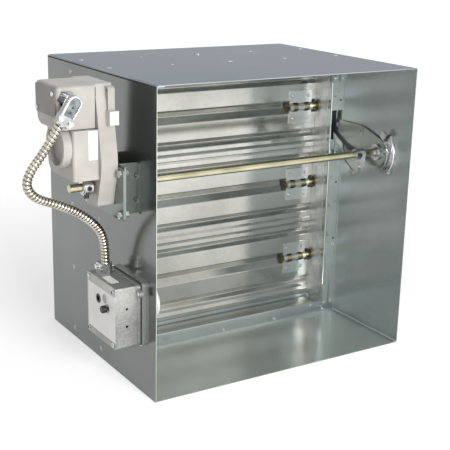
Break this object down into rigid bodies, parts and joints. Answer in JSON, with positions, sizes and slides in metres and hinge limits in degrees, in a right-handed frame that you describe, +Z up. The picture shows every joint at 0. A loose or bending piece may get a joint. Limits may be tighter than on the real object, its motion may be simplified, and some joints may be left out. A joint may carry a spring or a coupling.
{
  "type": "volume control damper",
  "caption": "Duct damper with folded steel blades in a sheet-metal sleeve, turned by a jackshaft and a side-mounted spring-return actuator, with a small control box joined by flexible conduit.",
  "frame": {"origin": "middle of the sleeve's bottom face", "axes": "+X to the right across the air stream, seen from the jackshaft side; +Y along the air stream, away from the jackshaft side; +Z up"},
  "size_m": [0.6823, 0.4064, 0.5016],
  "materials": {
    "galvanised": "galvanised, satin",
    "blade_steel": "galvanised, satin, warm grey",
    "frame_steel": "galvanised with a fine spangle",
    "yellow_zinc": "yellow zinc plated, satin",
    "clear_zinc": "clear zinc plated",
    "bronze": "sintered bronze, matt",
    "stainless": "thin stainless strip, semi-bright",
    "cast_painted": "warm light grey paint on a die casting, satin",
    "cover_grey": "darker grey paint, satin",
    "box_paint": "light grey paint, satin",
    "chrome": "bright plated die casting",
    "conduit_steel": "wound zinc-plated strip, semi-bright",
    "gasket_rubber": "matt foam rubber",
    "black_plastic": "matt black moulding",
    "grey_lens": "grey moulding, semi-gloss",
    "clip_plastic": "light grey moulding, matt",
    "spring_steel": "blued spring strip",
    "motor_steel": "plain steel can"
  },
  "bodies": {
    "sleeve_body": {"actuator_bolts": "clear_zinc", "actuator_channels": "galvanised", "actuator_clip": "clip_plastic", "actuator_plate": "galvanised", "bearing_bracket": "galvanised", "blade_stops": "frame_steel", "box_connector": "chrome", "box_cover": "box_paint", "box_gasket": "gasket_rubber", "box_plate": "galvanised", "box_screws": "clear_zinc", "control_box": "box_paint", "corner_gussets": "galvanised", "cover_plate": "cover_grey", "drive_motor": "motor_steel", "elbow_connector": "chrome", "fitting_screws": "clear_zinc", "flexible_conduit": "conduit_steel", "gear_case": "cast_painted", "head": "frame_steel", "heat_sensor": "stainless", "indicator_lens": "grey_lens", "jackshaft_bearing": "bronze", "jamb_left": "frame_steel", "jamb_right": "frame_steel", "jamb_seals": "stainless", "mechanism_screws": "clear_zinc", "motor_cover": "cast_painted", "return_spring": "spring_steel", "sensor_cup": "stainless", "shaft_bushings": "bronze", "sill": "frame_steel", "sleeve_left_bottom": "galvanised", "sleeve_top_right": "galvanised", "spring_drum": "cast_painted", "spring_housing": "cast_painted", "stop_quadrant": "galvanised", "switch_body": "black_plastic", "test_socket": "black_plastic"},
    "jackshaft_body": {"jackshaft": "yellow_zinc", "actuator_hub": "clear_zinc", "hub_screws": "black_plastic", "retaining_ring": "yellow_zinc", "crank_arm": "yellow_zinc", "crank_pin": "yellow_zinc"},
    "blade_1_body": {"blade_1": "blade_steel", "axle_clips_1": "blade_steel", "stub_axles_1": "yellow_zinc", "blade_crank_1": "yellow_zinc"},
    "blade_2_body": {"blade_2": "blade_steel", "axle_clips_2": "blade_steel", "stub_axles_2": "yellow_zinc", "blade_crank_2": "yellow_zinc"},
    "blade_3_body": {"blade_3": "blade_steel", "axle_clips_3": "blade_steel", "stub_axles_3": "yellow_zinc", "blade_crank_3": "yellow_zinc"},
    "tie_bar_body": {"tie_bar": "yellow_zinc"},
    "drive_link_body": {"drive_link": "yellow_zinc"},
    "reset_button_body": {"reset_button": "black_plastic"}
  },
  "joints": [
    {"name": "jackshaft_turn", "type": "hinge", "parent": "sleeve_body", "child": "jackshaft_body", "pos_m": [0, -0.118, 0.341], "axis": [-1, 0, 0], "range_deg": [0, 90]},
    {"name": "blade_1_turn", "type": "hinge", "parent": "sleeve_body", "child": "blade_1_body", "pos_m": [0, 0.0505, 0.10082], "axis": [-1, 0, 0], "range_deg": [0, 90]},
    {"name": "blade_2_turn", "type": "hinge", "parent": "sleeve_body", "child": "blade_2_body", "pos_m": [0, 0.0505, 0.25083], "axis": [-1, 0, 0], "range_deg": [0, 90]},
    {"name": "blade_3_turn", "type": "hinge", "parent": "sleeve_body", "child": "blade_3_body", "pos_m": [0, 0.0505, 0.40082], "axis": [-1, 0, 0], "range_deg": [0, 90]},
    {"name": "tie_bar_pivot", "type": "hinge", "parent": "blade_1_body", "child": "tie_bar_body", "pos_m": [0.243, 0.0505, 0.07883], "axis": [-1, 0, 0], "range_deg": [-90, 0]},
    {"name": "drive_link_pivot", "type": "hinge", "parent": "jackshaft_body", "child": "drive_link_body", "pos_m": [0.2145, -0.118, 0.319], "axis": [-1, 0, 0], "range_deg": [-90, 0]},
    {"name": "reset_button_press", "type": "slide", "parent": "sleeve_body", "child": "reset_button_body", "axis": [1, 0, 0], "range_m": [0, 0.0025], "stiffness_N_per_m": 400}
  ],
  "couplings": [
    {"joint": "blade_1_turn", "follows": "jackshaft_turn", "ratio": 1},
    {"joint": "blade_2_turn", "follows": "jackshaft_turn", "ratio": 1},
    {"joint": "blade_3_turn", "follows": "jackshaft_turn", "ratio": 1},
    {"joint": "tie_bar_pivot", "follows": "jackshaft_turn", "ratio": -1},
    {"joint": "drive_link_pivot", "follows": "jackshaft_turn", "ratio": -1}
  ]
}
